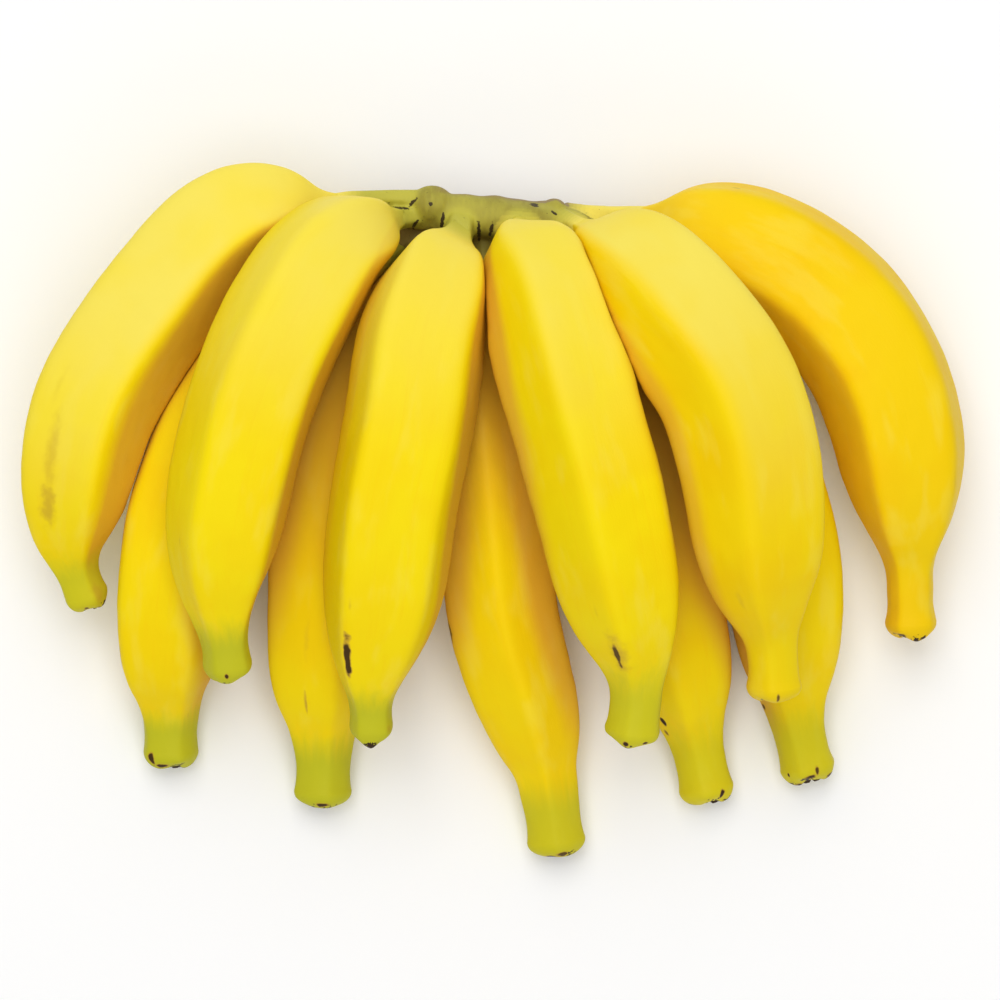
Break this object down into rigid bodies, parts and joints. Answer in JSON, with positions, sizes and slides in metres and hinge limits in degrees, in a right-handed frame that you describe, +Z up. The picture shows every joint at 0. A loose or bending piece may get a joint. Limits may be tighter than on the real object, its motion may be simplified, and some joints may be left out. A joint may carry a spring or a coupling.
{
  "type": "hand of bananas",
  "caption": "Bunch of ripe yellow bananas still joined at their green crown, in curved overlapping rows, lying with the hollow side down.",
  "frame": {"origin": "middle of the bounding box, on the ground that the hand lies on", "axes": "+Z up, +X along the crown from the left finger to the right one, +Y from the tips to the crown"},
  "size_m": [0.2715, 0.2021, 0.0837],
  "materials": {
    "peel": "satin waxy banana peel, lemon yellow, green at the bottle-neck tips, brown bruises and blossom scars",
    "crown": "matte fibrous olive-green crown and stalks with brown cuts"
  },
  "bodies": {
    "root": {"crown": "crown", "finger_front_1": "peel", "finger_front_2": "peel", "finger_front_3": "peel", "finger_front_4": "peel", "finger_front_5": "peel", "finger_front_6": "peel", "finger_back_1": "peel", "finger_back_2": "peel", "finger_back_3": "peel", "finger_back_4": "peel", "finger_back_5": "peel"}
  },
  "joints": []
}
